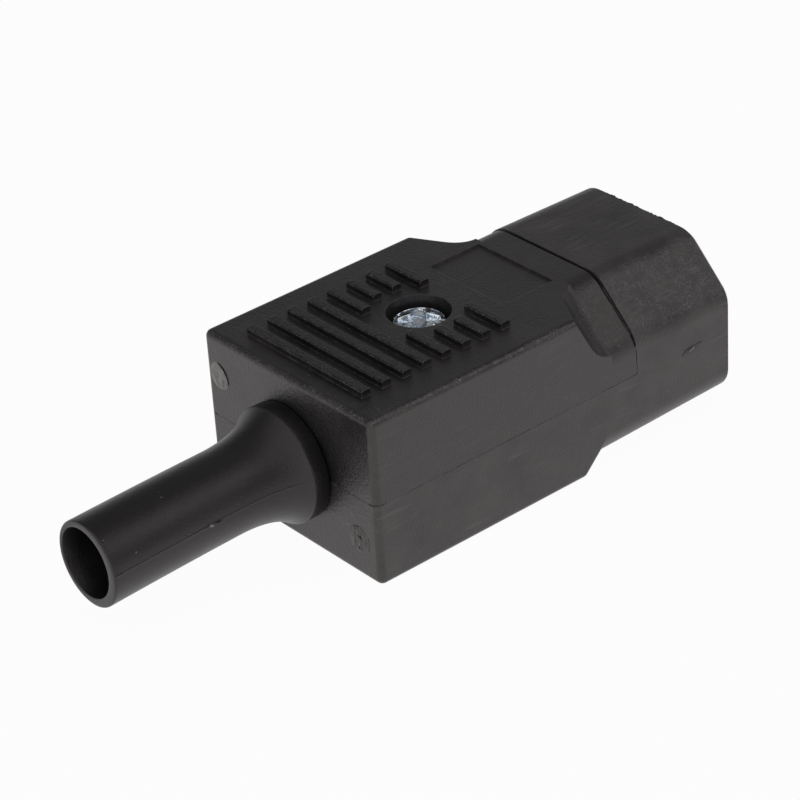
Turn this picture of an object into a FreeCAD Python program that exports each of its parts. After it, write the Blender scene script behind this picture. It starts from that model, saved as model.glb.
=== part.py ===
"""Rewirable three-pole cable connector with a bend-relief boot.

Two mouldings meet at a parting plane. The lower one carries the nose that goes
into an appliance inlet. The upper one is a ribbed cover held by one screw.
Inside are three folded brass contacts with screw terminals, and a cord grip.
X runs to the mating face, Z runs up, and the part lies on the base of its case.
"""
import FreeCAD
import Part
import math
import os

Vec = FreeCAD.Vector

# Pins of the mating inlet
PIN_PITCH = 14.0
EARTH_RISE = 4.0

# Contacts and terminals
STRIP_T = 0.6
LEAF_H = 4.6
WEB_GAP = 3.2
PINCH_GAP = 1.7
MOUTH_GAP = 2.6
LEAF_BEND_R = 1.2
TAIL_W = 5.2
TAIL_T = 1.2
TAIL_L = 6.0
WEB_SETBACK = 1.4
TERMINAL_R = 1.45
TERMINAL_HEAD_R = 2.3
TERMINAL_HEAD_H = 1.8
TERMINAL_REACH = 2.0
TERMINAL_SLOT = 0.7
WASHER_W = 5.0
WASHER_T = 0.8

# Case
WALL = 1.9
SIDE_ROOM = 0.5
BODY_H = 17.4
PART_Z = 8.6
SHOULDER_X = 24.5
SLOPE_X = 25.6
EDGE_R = 0.7
SCOOP_R = 3.2
SCOOP_ANGLE = 52.0
PART_BEVEL = 0.08
COVER_END = 32.2
COVER_GAP = 0.1
COVER_LEAN = 0.3

# Nose
NOSE_END = 44.9
NOSE_H = 16.0
NOSE_DROP = 0.2
NOSE_DRAFT = 1.0
NOSE_CHAMFER = 5.2
NOSE_R = 2.8
CHAMFER_R = 3.0
CORE_R = 0.6
NOSE_BEVEL = 0.45
FRONT_WALL = 2.0
SLOT_W = 2.7
SLOT_H = 4.8
SLOT_BEVEL = 0.4
POCKET_ROOM = 0.15

# Grip ribs and label recess on the cover
RIB_COUNT = 8
RIB_SPLIT = 4
RIB_PITCH = 2.38
RIB_SHIFT = 0.15
RIB_W = 1.05
RIB_H = 0.7
RIB_SPAN = 16.4
RIB_BEVEL = 0.14
RIB_GAP_INNER = 8.6
RIB_GAP_OUTER = 6.2
LABEL_X = 22.25
LABEL_L = 6.3
LABEL_W = 10.4
LABEL_DEPTH = 0.2
LABEL_SHIFT = 0.4

# Cover screw and its boss
SCREW_X = 16.05
SCREW_R = 1.5
SCREW_HEAD_R = 2.5
SCREW_HEAD_H = 2.0
SCREW_SINK = 0.55
SCREW_CROSS = 0.8
SCREW_CROSS_L = 2.9
SCREW_CROSS_DEPTH = 1.1
SCREW_TIP = 3.2
COUNTERBORE_R = 3.1
BOSS_R = 4.3
TAB_T = 0.9
TAB_H = 1.2
TAB_X = 10.6
TAB_L = 12.4

# Cord grip
CORD_R = 3.4
GRIP_X = 4.5
GRIP_L = 5.0
GRIP_ARM_T = 2.2
GRIP_ARCH_T = 1.3
GRIP_END_ROOM = 0.9
GRIP_SCREW_INSET = 2.3
GRIP_SCREW_R = 1.25
GRIP_HEAD_R = 2.1
GRIP_HEAD_H = 1.7
GRIP_SCREW_DEPTH = 5.0
GRIP_CROSS = 0.6
RIDGE_H = 0.5
RIDGE_W = 1.0
GRIP_BEVEL = 0.8

# Boot
BOOT_L = 23.0
BOOT_TAIL_R = 4.2
BOOT_WAIST_X = 7.3
BOOT_SWELL_X = 4.9
BOOT_SWELL_R = 4.55
BOOT_FLARE_X = 2.95
BOOT_FLARE_R = 5.2
BOOT_LIP_R = 5.8
BOOT_LIP_L = 1.9
BOOT_NECK_R = 4.4
BOOT_INNER_R = 5.6
BOOT_INNER_L = 1.4

# Moulding gate marks on the rear face
GATE_R = 1.35
GATE_DEPTH = 0.15
GATE_INSET = 2.4
GATE_RISE = 4.6
GATE_SHIFT = 0.35

# Clearances
FIT = 0.05
PLAY = 0.1
SEAT_ROOM = 0.15
PARTITION_T = 0.8
PARTITION_RISE = 2.9
LEDGE_L = 1.2
LEDGE_T = 1.2

# Derived levels and widths
HALF_W = PIN_PITCH / 2 + TAIL_W / 2 + SIDE_ROOM + WALL
INNER_W = HALF_W - WALL
NOSE_TOP = BODY_H - NOSE_DROP
NOSE_BASE = NOSE_TOP - NOSE_H
NOSE_MID = NOSE_TOP - NOSE_H / 2
LIVE_Z = NOSE_MID - EARTH_RISE / 2
EARTH_Z = NOSE_MID + EARTH_RISE / 2
NOSE_START = COVER_END + COVER_GAP
COVER_ROOF = BODY_H - WALL
SHELL_FLOOR = NOSE_BASE + WALL
WEB_X = COVER_END - WEB_SETBACK
TERMINAL_X = WEB_X - TAIL_L / 2
TAIL_X = WEB_X - TAIL_L
LEAF_END = NOSE_END - FRONT_WALL - PLAY
HEAD_SEAT = BODY_H - SCREW_SINK - SCREW_HEAD_H
GRIP_MID = GRIP_X + GRIP_L / 2
GRIP_HALF = INNER_W - GRIP_END_ROOM
GRIP_SCREW_Y = GRIP_HALF - GRIP_SCREW_INSET
MID_X = (NOSE_END - BOOT_L) / 2


def block(x0, x1, y0, y1, z0, z1):
    """A rectangular solid between two corners."""
    return Part.makeBox(x1 - x0, y1 - y0, z1 - z0, Vec(x0, y0, z0))


def post(radius, x, y, z0, z1):
    """An upright round solid."""
    return Part.makeCylinder(radius, z1 - z0, Vec(x, y, z0))


def prism(points, along):
    """A closed straight-sided profile pushed along a vector."""
    wire = Part.makePolygon(points + points[:1])
    return Part.Face(wire).extrude(along)


def turned(profile, axis_point, axis):
    """A closed profile turned about an axis."""
    return Part.Face(profile).revolve(axis_point, axis)


def rounded(shape, radius, chosen):
    """The shape with a radius on each edge whose middle is chosen."""
    edges = [e for e in shape.Edges if chosen(e.CenterOfMass)]
    return shape.makeFillet(radius, edges)


def bevelled(shape, width, chosen):
    """The shape with a bevel on each edge whose middle is chosen."""
    edges = [e for e in shape.Edges if chosen(e.CenterOfMass)]
    return shape.makeChamfer(width, edges)


def near(a, b):
    """True where two lengths agree."""
    return abs(a - b) < 1e-4


def corner_arc(here, before, after, radius):
    """Start, middle and end of the arc that rounds a corner between two directions."""
    before.normalize()
    after.normalize()
    half = before.getAngle(after) / 2
    reach = radius / math.tan(half)
    bisector = before + after
    bisector.normalize()
    crown = here + bisector * (radius / math.sin(half) - radius)
    return here + before * reach, crown, here + after * reach


def rounded_profile(corners, x):
    """A closed wire across X through (y, z, radius) corners with tangent arcs."""
    arcs = []
    count = len(corners)
    for i in range(count):
        y, z, radius = corners[i]
        here = Vec(x, y, z)
        before = Vec(x, corners[i - 1][0], corners[i - 1][1]) - here
        after = Vec(x, corners[(i + 1) % count][0], corners[(i + 1) % count][1]) - here
        arcs.append(corner_arc(here, before, after, radius))
    edges = []
    for i in range(count):
        start, crown, end = arcs[i]
        edges.append(Part.Arc(start, crown, end).toShape())
        edges.append(Part.makeLine(end, arcs[(i + 1) % count][0]))
    return Part.Wire(edges)


def nose_section(x0, x1, top, inset=0.0):
    """The chamfered nose section, or one set in from it, between two X planes."""
    side = HALF_W - inset
    slant = HALF_W + NOSE_TOP - NOSE_CHAMFER - inset * math.sqrt(2)
    upper = top - inset
    lower = NOSE_BASE + inset
    low_r = max(NOSE_R - inset, CORE_R)
    high_r = max(CHAMFER_R - inset, CORE_R)
    corners = [
        (-side, lower, low_r),
        (side, lower, low_r),
        (side, slant - side, high_r),
        (slant - upper, upper, high_r),
        (upper - slant, upper, high_r),
        (-side, slant - side, high_r),
    ]
    return Part.Face(rounded_profile(corners, x0)).extrude(Vec(x1 - x0, 0, 0))


def drawn_nose(x0):
    """The nose, whose roof and underside draw together towards the mating face."""
    run = NOSE_END - x0
    draft = run * math.tan(math.radians(NOSE_DRAFT))
    flank = NOSE_TOP - NOSE_CHAMFER
    crest = HALF_W - NOSE_CHAMFER
    roof = [
        Vec(NOSE_END, -HALF_W, -BODY_H),
        Vec(NOSE_END, HALF_W, -BODY_H),
        Vec(NOSE_END, HALF_W, flank),
        Vec(NOSE_END, crest, NOSE_TOP),
        Vec(NOSE_END, -crest, NOSE_TOP),
        Vec(NOSE_END, -HALF_W, flank),
    ]
    keel = [
        Vec(NOSE_END, -HALF_W, NOSE_BASE),
        Vec(NOSE_END, HALF_W, NOSE_BASE),
        Vec(NOSE_END, HALF_W, 2 * BODY_H),
        Vec(NOSE_END, -HALF_W, 2 * BODY_H),
    ]
    nose = prism(roof, Vec(-run, 0, draft)).common(prism(keel, Vec(-run, 0, -draft)))

    def lengthways(p):
        return x0 < p.x - NOSE_R and p.x + NOSE_R < NOSE_END

    nose = rounded(nose, NOSE_R, lambda p: lengthways(p) and p.z < PART_Z)
    nose = rounded(nose, CHAMFER_R, lambda p: lengthways(p) and p.z > flank and abs(p.y) > PIN_PITCH / 4)
    return bevelled(nose, NOSE_BEVEL, lambda p: near(p.x, NOSE_END))


def scoop_end():
    """X where the scooped shoulder runs out into the chamfer."""
    angle = math.radians(SCOOP_ANGLE)
    depth = (BODY_H - NOSE_TOP + NOSE_CHAMFER) / math.sqrt(2)
    bent = SCOOP_R * (1 - math.cos(angle))
    return SHOULDER_X + (depth - bent) / math.tan(angle) + SCOOP_R * math.sin(angle)


def scoop_cutter(side):
    """What is taken off one top corner: a ramp with a hollow foot, then the chamfer."""
    angle = math.radians(SCOOP_ANGLE)
    depth = (BODY_H - NOSE_TOP + NOSE_CHAMFER) / math.sqrt(2)
    high = depth * 2
    origin = Vec(0, side * (HALF_W - NOSE_CHAMFER / 2), NOSE_TOP - NOSE_CHAMFER / 2)
    outward = Vec(0, side, 1) / math.sqrt(2)
    across = Vec(0, -side, 1) / math.sqrt(2)

    def at(x, lift):
        return origin + Vec(x, 0, 0) + outward * lift

    foot = scoop_end()
    bent = SCOOP_R * (1 - math.cos(angle))
    ramp = foot - SCOOP_R * math.sin(angle)
    top = SHOULDER_X - (high - depth) / math.tan(angle)
    half = angle / 2
    crown = at(foot - SCOOP_R * math.sin(half), SCOOP_R * (1 - math.cos(half)))
    edges = [
        Part.makeLine(at(top, high), at(ramp, bent)),
        Part.Arc(at(ramp, bent), crown, at(foot, 0)).toShape(),
        Part.makeLine(at(foot, 0), at(NOSE_END, 0)),
        Part.makeLine(at(NOSE_END, 0), at(NOSE_END, high)),
        Part.makeLine(at(NOSE_END, high), at(top, high)),
    ]
    reach = across * (NOSE_CHAMFER * 2)
    face = Part.Face(Part.Wire(edges))
    face.translate(reach * -1)
    return face.extrude(reach * 2)


def outer_form():
    """The closed outer form of both mouldings together."""
    foot = scoop_end()
    rise = NOSE_BASE + NOSE_R + EDGE_R
    side_view = [
        Vec(0, -HALF_W, 0),
        Vec(SLOPE_X, -HALF_W, 0),
        Vec(SLOPE_X + rise, -HALF_W, rise),
        Vec(foot, -HALF_W, PART_Z),
        Vec(foot, -HALF_W, BODY_H),
        Vec(0, -HALF_W, BODY_H),
    ]
    body = prism(side_view, Vec(0, 2 * HALF_W, 0))

    def moulded(p):
        rear = near(p.x, 0)
        side = near(abs(p.y), HALF_W) and (near(p.z, 0) or near(p.z, BODY_H))
        slope = near(abs(p.y), HALF_W) and p.x > SLOPE_X and p.z < rise
        crest = near(p.x, SLOPE_X) and near(p.z, 0)
        return rear or side or slope or crest

    body = rounded(body, EDGE_R, moulded)
    for side in (-1, 1):
        body = body.cut(scoop_cutter(side))
    tongue = nose_section(SHOULDER_X - WALL, COVER_END + COVER_GAP, BODY_H)
    tongue = tongue.common(block(0, NOSE_END, -HALF_W, HALF_W, PART_Z, BODY_H))
    nose = drawn_nose(SHOULDER_X - WALL)
    upper = block(-1, NOSE_START, -BODY_H, BODY_H, PART_Z, 2 * BODY_H)
    over = BODY_H - PART_Z
    lid = [
        Vec(-1, -BODY_H, PART_Z),
        Vec(COVER_END, -BODY_H, PART_Z),
        Vec(COVER_END - 2 * COVER_LEAN, -BODY_H, PART_Z + 2 * over),
        Vec(-1, -BODY_H, PART_Z + 2 * over),
    ]
    cover = body.fuse(tongue).common(prism(lid, Vec(0, 2 * BODY_H, 0))).removeSplitter()
    lower = body.fuse(nose).cut(upper).removeSplitter()
    return cover, lower


def parted(shape):
    """A moulding with a fine bevel round its outer edge at the parting plane."""

    def rim(p):
        return near(p.z, PART_Z) and p.x < COVER_END - EDGE_R

    return bevelled(shape, PART_BEVEL, rim)


def neck_hole():
    """The round opening in the rear wall that holds the boot's neck."""
    return Part.makeCylinder(BOOT_NECK_R + SEAT_ROOM, 2 * WALL, Vec(-WALL / 2, 0, PART_Z), Vec(1, 0, 0))


def gate_mark(side, z):
    """The shallow round mark left by a moulding gate on the rear face."""
    y = side * (HALF_W - GATE_INSET) + GATE_SHIFT
    return Part.makeCylinder(GATE_R, 2 * GATE_DEPTH, Vec(-GATE_DEPTH, y, z), Vec(1, 0, 0))


def grip_rib(index):
    """One rib across the cover's top, split where the screw stands."""
    x = SCREW_X - RIB_SHIFT + (index - RIB_COUNT + RIB_SPLIT / 2 + 0.5) * RIB_PITCH
    top = BODY_H + RIB_H
    rib = block(x - RIB_W / 2, x + RIB_W / 2, -RIB_SPAN / 2, RIB_SPAN / 2, BODY_H - RIB_H, top)
    rib = bevelled(rib, RIB_BEVEL, lambda p: near(p.z, top) and near(p.y, 0))
    place = index - (RIB_COUNT - RIB_SPLIT)
    if place < 0:
        return rib
    outer = place in (0, RIB_SPLIT - 1)
    gap = RIB_GAP_OUTER if outer else RIB_GAP_INNER
    return rib.cut(block(x - RIB_W, x + RIB_W, -gap / 2, gap / 2, 0, 2 * BODY_H))


def upper_cover(form):
    """The ribbed upper moulding with its screw boss, locating tabs and open front."""
    rear_room = block(WALL, SHOULDER_X - WALL, -INNER_W, INNER_W, 0, COVER_ROOF)
    front_room = nose_section(SHOULDER_X - 2 * WALL, NOSE_START, BODY_H, WALL)
    cover = parted(form).cut(rear_room).cut(front_room)
    boss = post(BOSS_R, SCREW_X, 0, PART_Z, COVER_ROOF + WALL / 2)
    cover = cover.fuse(boss)
    for side in (-1, 1):
        outer = side * (INNER_W - PLAY)
        inner = side * (INNER_W - PLAY - TAB_T)
        y0, y1 = sorted((outer, inner))
        tab = block(TAB_X, TAB_X + TAB_L, y0, y1, PART_Z - TAB_H, PART_Z + TAB_H)
        root0, root1 = sorted((side * (INNER_W + PLAY), inner))
        root = block(TAB_X, TAB_X + TAB_L, root0, root1, PART_Z, PART_Z + TAB_H)
        cover = cover.fuse(tab).fuse(root)
    for index in range(RIB_COUNT):
        cover = cover.fuse(grip_rib(index))
    label = block(LABEL_X, LABEL_X + LABEL_L, -LABEL_W / 2, LABEL_W / 2, BODY_H - LABEL_DEPTH, BODY_H + 1)
    label.translate(Vec(0, LABEL_SHIFT, 0))
    cuts = [
        label,
        post(COUNTERBORE_R, SCREW_X, 0, HEAD_SEAT, BODY_H + 1),
        post(SCREW_R + PLAY, SCREW_X, 0, 0, BODY_H),
        neck_hole(),
        gate_mark(1, PART_Z + GATE_RISE),
    ]
    return cover.cut(Part.makeCompound(cuts)).removeSplitter()


def cord_ridges(side):
    """Two biting ridges across the top or the bottom of the cord's way."""
    crest = CORD_R - RIDGE_H
    root = CORD_R + RIDGE_H
    reach = math.sqrt((CORD_R + PLAY) ** 2 - crest ** 2) + RIDGE_W / 4
    ridges = []
    for share in (0.28, 0.72):
        x = GRIP_X + GRIP_L * share
        points = [
            Vec(x - RIDGE_W / 2, -reach, PART_Z + side * root),
            Vec(x, -reach, PART_Z + side * crest),
            Vec(x + RIDGE_W / 2, -reach, PART_Z + side * root),
        ]
        ridges.append(prism(points, Vec(0, 2 * reach, 0)))
    return ridges


def cord_way():
    """The round way through the cord grip."""
    return Part.makeCylinder(CORD_R + PLAY, GRIP_L * 2, Vec(GRIP_X - GRIP_L / 2, 0, PART_Z), Vec(1, 0, 0))


def pin_rows():
    """Y and Z of the two live poles and the earth pole."""
    half = PIN_PITCH / 2
    return {"line": (half, LIVE_Z), "neutral": (-half, LIVE_Z), "earth": (0, EARTH_Z)}


def sleeve_room(y, z):
    """Pocket, bevelled entry slot and screw well for one contact."""
    half_w = WEB_GAP / 2 + STRIP_T + POCKET_ROOM
    low = z - LEAF_H / 2
    pocket = block(WEB_X, LEAF_END + PLAY, y - half_w, y + half_w, low, z + LEAF_H / 2 + POCKET_ROOM)
    slot = block(LEAF_END, NOSE_END + 1, y - SLOT_W / 2, y + SLOT_W / 2, z - SLOT_H / 2, z + SLOT_H / 2)
    flare = 2 * SLOT_BEVEL
    mouth = Part.makeWedge(
        0, 0, 0, flare / 2, flare / 2,
        SLOT_W + flare, flare, SLOT_H + flare, SLOT_H + flare / 2, SLOT_W + flare / 2,
    )
    mouth.rotate(Vec(0, 0, 0), Vec(0, 0, 1), 90)
    mouth.translate(Vec(NOSE_END, y - SLOT_W / 2 - SLOT_BEVEL, z - SLOT_H / 2 - SLOT_BEVEL))
    room = TERMINAL_R + SEAT_ROOM
    well_floor = low - TERMINAL_REACH - PLAY
    well = block(TERMINAL_X - room, TERMINAL_X + room, y - room, y + room, well_floor, low + PLAY)
    return [pocket, slot, mouth, well]


def lower_housing(form):
    """The lower moulding: open tray, cord cradle, screw boss, terminal beds and nose."""
    tray = block(WALL, SHOULDER_X - WALL, -INNER_W, INNER_W, WALL, BODY_H)
    front_tray = block(SHOULDER_X - 2 * WALL, NOSE_START, -INNER_W, INNER_W, SHELL_FLOOR, BODY_H)
    housing = parted(form).cut(tray).cut(front_tray)
    root = NOSE_BASE + WALL / 2
    wall_y = INNER_W + WALL / 4
    bed_x = TAIL_X - PLAY
    stop_x = bed_x - PARTITION_T
    adds = [
        post(BOSS_R, SCREW_X, 0, WALL / 2, PART_Z),
        block(GRIP_X, GRIP_X + GRIP_L, -wall_y, wall_y, WALL / 2, PART_Z),
    ]
    partition_y = PIN_PITCH / 4
    for name, (y, z) in pin_rows().items():
        low = z - LEAF_H / 2
        y0 = y - PIN_PITCH / 4
        y1 = y + PIN_PITCH / 4
        if name == "line":
            y1 = wall_y
        if name == "neutral":
            y0 = -wall_y
        adds.append(block(stop_x, NOSE_START + WALL, y0, y1, root, low))
        adds.append(block(stop_x, bed_x, y0, y1, root, low + TAIL_T))
    for side in (-1, 1):
        y = side * partition_y
        edge0 = y - PARTITION_T / 2
        edge1 = y + PARTITION_T / 2
        adds.append(block(stop_x, NOSE_START + WALL, edge0, edge1, root, PART_Z + PARTITION_RISE))
    ledge_y = HALF_W - NOSE_CHAMFER - WALL
    ledge_top = COVER_ROOF - SEAT_ROOM
    ledge_x = NOSE_START - LEDGE_L
    ledge_base = ledge_top - LEDGE_T
    adds.append(block(ledge_x, NOSE_START + WALL, -ledge_y, ledge_y, ledge_base, ledge_top))
    for piece in adds:
        housing = housing.fuse(piece)
    cuts = [
        cord_way(),
        neck_hole(),
        post(SCREW_R + FIT, SCREW_X, 0, SCREW_TIP - PLAY, PART_Z + 1),
        gate_mark(-1, PART_Z - GATE_RISE),
    ]
    for side in (-1, 1):
        y = side * GRIP_SCREW_Y
        cuts.append(post(GRIP_SCREW_R + FIT, GRIP_MID, y, PART_Z - GRIP_SCREW_DEPTH - PLAY, PART_Z + 1))
    for y, z in pin_rows().values():
        cuts.extend(sleeve_room(y, z))
    for piece in cuts:
        housing = housing.cut(piece)
    for ridge in cord_ridges(-1):
        housing = housing.fuse(ridge)
    return housing.removeSplitter()


def bent_strip(points, radius, thickness, offset_side):
    """The plan of a folded strip: straight runs, rounded bends, even thickness."""
    start = points[0]
    edges = []
    for before, here, after in zip(points, points[1:], points[2:]):
        into, crown, out = corner_arc(here, before - here, after - here, radius)
        edges.append(Part.makeLine(start, into))
        edges.append(Part.Arc(into, crown, out).toShape())
        start = out
    edges.append(Part.makeLine(start, points[-1]))
    return Part.Wire(edges).makeOffset2D(offset_side * thickness, 0, True, True)


def contact(y, z):
    """A folded brass contact: two sprung leaves, a web between them and a screw tail."""
    low = z - LEAF_H / 2
    pinch_x = LEAF_END - (LEAF_END - NOSE_START) / 4
    bend_x = LEAF_END - 3 * (LEAF_END - NOSE_START) / 4
    web = block(WEB_X, WEB_X + STRIP_T, y - WEB_GAP / 2, y + WEB_GAP / 2, low, low + LEAF_H)
    tail = block(TAIL_X, WEB_X + STRIP_T, y - TAIL_W / 2, y + TAIL_W / 2, low, low + TAIL_T)
    tail = bevelled(tail, STRIP_T, lambda p: near(p.x, TAIL_X) and near(p.z, low + TAIL_T / 2))
    part = tail.fuse(web)
    for side in (-1, 1):
        points = [
            Vec(WEB_X, y + side * WEB_GAP / 2, low),
            Vec(bend_x, y + side * WEB_GAP / 2, low),
            Vec(pinch_x, y + side * PINCH_GAP / 2, low),
            Vec(LEAF_END, y + side * MOUTH_GAP / 2, low),
        ]
        leaf = bent_strip(points, LEAF_BEND_R, STRIP_T, side)
        part = part.fuse(leaf.extrude(Vec(0, 0, LEAF_H)))
    part = part.cut(post(TERMINAL_R + FIT, TERMINAL_X, y, low - 1, low + TAIL_T + 1))
    return part.removeSplitter()


def clamp_washer(y, z):
    """The square plate that presses a wire on to the tail."""
    low = z - LEAF_H / 2 + TAIL_T
    half = WASHER_W / 2
    plate = block(TERMINAL_X - half, TERMINAL_X + half, y - half, y + half, low, low + WASHER_T)
    plate = bevelled(plate, STRIP_T, lambda p: near(p.z, low + WASHER_T / 2))
    return plate.cut(post(TERMINAL_R + PLAY, TERMINAL_X, y, low - 1, low + WASHER_T + 1))


def cheese_screw(x, y, seat, tip, radius, head_r, head_h):
    """An upright screw with a plain round head."""
    return post(head_r, x, y, seat, seat + head_h).fuse(post(radius, x, y, tip, seat))


def terminal_screw(y, z):
    """A slotted cheese-head screw through the washer and the tail."""
    tail = z - LEAF_H / 2
    seat = tail + TAIL_T + WASHER_T
    top = seat + TERMINAL_HEAD_H
    tip = tail - TERMINAL_REACH
    screw = cheese_screw(TERMINAL_X, y, seat, tip, TERMINAL_R, TERMINAL_HEAD_R, TERMINAL_HEAD_H)
    across = TERMINAL_HEAD_R + 1
    width = TERMINAL_SLOT / 2
    floor = top - TERMINAL_HEAD_H / 2
    slot = block(TERMINAL_X - across, TERMINAL_X + across, y - width, y + width, floor, top + 1)
    return screw.cut(slot)


def cross_recess(x, y, top, width, length, depth):
    """A cross-shaped driver recess whose two arms shorten towards the bottom."""
    high = length / 2
    low = width
    arm = width / 2
    along_x = [
        Vec(x - high, y - arm, top),
        Vec(x - low, y - arm, top - depth),
        Vec(x + low, y - arm, top - depth),
        Vec(x + high, y - arm, top),
    ]
    along_y = [
        Vec(x - arm, y - high, top),
        Vec(x - arm, y - low, top - depth),
        Vec(x - arm, y + low, top - depth),
        Vec(x - arm, y + high, top),
    ]
    return prism(along_x, Vec(0, width, 0)).fuse(prism(along_y, Vec(width, 0, 0)))


def cover_screw():
    """The cross-head screw that holds the cover down."""
    screw = cheese_screw(SCREW_X, 0, HEAD_SEAT, SCREW_TIP, SCREW_R, SCREW_HEAD_R, SCREW_HEAD_H)
    top = HEAD_SEAT + SCREW_HEAD_H
    return screw.cut(cross_recess(SCREW_X, 0, top, SCREW_CROSS, SCREW_CROSS_L, SCREW_CROSS_DEPTH))


def grip_screw(side):
    """One screw of the cord grip."""
    y = side * GRIP_SCREW_Y
    seat = PART_Z + GRIP_ARM_T
    tip = PART_Z - GRIP_SCREW_DEPTH
    top = seat + GRIP_HEAD_H
    screw = cheese_screw(GRIP_MID, y, seat, tip, GRIP_SCREW_R, GRIP_HEAD_R, GRIP_HEAD_H)
    return screw.cut(cross_recess(GRIP_MID, y, top, GRIP_CROSS, GRIP_HEAD_R, GRIP_HEAD_H / 2))


def cord_grip():
    """The saddle that presses the cord into the cradle: two arms and a ridged arch."""
    length = GRIP_L - 2 * PLAY
    x0 = GRIP_X + PLAY
    half = GRIP_HALF
    arms = block(x0, x0 + length, -half, half, PART_Z, PART_Z + GRIP_ARM_T)
    arms = bevelled(arms, GRIP_BEVEL, lambda p: near(abs(p.y), half) and near(p.z, PART_Z + GRIP_ARM_T / 2))
    arch_r = CORD_R + PLAY + GRIP_ARCH_T
    arch = Part.makeCylinder(arch_r, length, Vec(x0, 0, PART_Z), Vec(1, 0, 0))
    arch = arch.common(block(0, SCREW_X, -half, half, PART_Z, 2 * BODY_H))
    saddle = arms.fuse(arch).cut(cord_way())
    for side in (-1, 1):
        y = side * GRIP_SCREW_Y
        saddle = saddle.cut(post(GRIP_SCREW_R + PLAY, GRIP_MID, y, 0, 2 * BODY_H))
    for ridge in cord_ridges(1):
        saddle = saddle.fuse(ridge)
    return saddle.removeSplitter()


def cable_boot():
    """The flexible sleeve: long tail, trumpet flare, lip, neck in the wall, inner flange."""

    def at(x, r):
        return Vec(x, 0, PART_Z + r)

    back = -BOOT_L
    lip = -PLAY - BOOT_LIP_L
    inner = WALL + PLAY
    outline = [
        at(back, CORD_R),
        at(back, BOOT_TAIL_R),
        at(-BOOT_WAIST_X, BOOT_TAIL_R),
        at(-BOOT_SWELL_X, BOOT_SWELL_R),
        at(-BOOT_FLARE_X, BOOT_FLARE_R),
        at(lip, BOOT_LIP_R),
        at(-PLAY, BOOT_LIP_R),
        at(-PLAY, BOOT_NECK_R),
        at(inner, BOOT_NECK_R),
        at(inner, BOOT_INNER_R),
        at(inner + BOOT_INNER_L, BOOT_INNER_R),
        at(inner + BOOT_INNER_L, CORD_R),
        at(back, CORD_R),
    ]
    return turned(Part.makePolygon(outline), Vec(0, 0, PART_Z), Vec(1, 0, 0))


def pieces():
    """Every piece of the connector by name."""
    cover_form, lower_form = outer_form()
    made = {
        "lower_housing": lower_housing(lower_form),
        "upper_cover": upper_cover(cover_form),
        "cable_boot": cable_boot(),
        "cover_screw": cover_screw(),
        "cord_grip": cord_grip(),
        "cord_grip_screw_left": grip_screw(1),
        "cord_grip_screw_right": grip_screw(-1),
    }
    for name, (y, z) in pin_rows().items():
        made[name + "_contact"] = contact(y, z)
        made[name + "_washer"] = clamp_washer(y, z)
        made[name + "_screw"] = terminal_screw(y, z)
    return made


def main():
    """Write each piece, with the origin under the middle of the whole."""
    os.makedirs("parts", exist_ok=True)
    for name, shape in pieces().items():
        shape.translate(Vec(-MID_X, 0, 0))
        shape.exportStep("parts/" + name + ".step")


main()
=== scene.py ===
"""Dresses the rewirable cable connector: moulded case, flexible boot, screws and terminals.

Every size is in metres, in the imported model's own frame: +X runs to the mating
face, +Z runs up, and the case lies on the floor at Z = 0.
"""
from __future__ import annotations

import logging
import math
from dataclasses import dataclass, field, replace
from enum import Enum
from typing import Any, Dict, List, Optional, Sequence, Tuple, Union

import bmesh
import bpy
from mathutils import Matrix, Vector, noise

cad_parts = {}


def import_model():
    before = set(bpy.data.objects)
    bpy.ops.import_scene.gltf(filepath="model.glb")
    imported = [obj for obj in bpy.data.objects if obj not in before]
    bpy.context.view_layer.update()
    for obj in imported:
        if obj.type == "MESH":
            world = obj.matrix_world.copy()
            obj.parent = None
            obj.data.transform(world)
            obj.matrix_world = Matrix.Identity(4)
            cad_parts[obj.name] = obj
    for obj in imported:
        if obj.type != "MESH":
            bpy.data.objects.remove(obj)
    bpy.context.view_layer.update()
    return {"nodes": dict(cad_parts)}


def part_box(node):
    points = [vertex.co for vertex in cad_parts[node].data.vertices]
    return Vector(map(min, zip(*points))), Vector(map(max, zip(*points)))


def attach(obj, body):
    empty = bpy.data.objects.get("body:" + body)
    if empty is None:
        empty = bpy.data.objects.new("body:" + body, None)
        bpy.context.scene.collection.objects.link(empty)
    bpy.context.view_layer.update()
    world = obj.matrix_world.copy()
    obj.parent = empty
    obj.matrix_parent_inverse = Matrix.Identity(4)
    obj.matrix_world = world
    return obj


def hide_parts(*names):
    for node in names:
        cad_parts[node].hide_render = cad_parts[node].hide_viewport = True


LOG = logging.getLogger("connector")
MM = 0.001
PARTING_Z = 8.6 * MM
POLES = ("line", "neutral", "earth")
UP = Vector((0.0, 0.0, 1.0))
BACK = Vector((-1.0, 0.0, 0.0))
RIGHT = Vector((0.0, -1.0, 0.0))
Material = bpy.types.Material
Socket = bpy.types.NodeSocket
Triple = Tuple[float, float, float]
Pair = Tuple[float, float]
Value = Union[float, int, Sequence[float], Socket]


class Drive(Enum):
    """How a screw's head is driven."""

    CROSS = "cross"
    SLOT = "slot"


@dataclass(frozen=True)
class Pattern:
    """A patchy noise, with the two levels between which its patches fade in."""

    size: float
    detail: float
    levels: Pair


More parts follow.
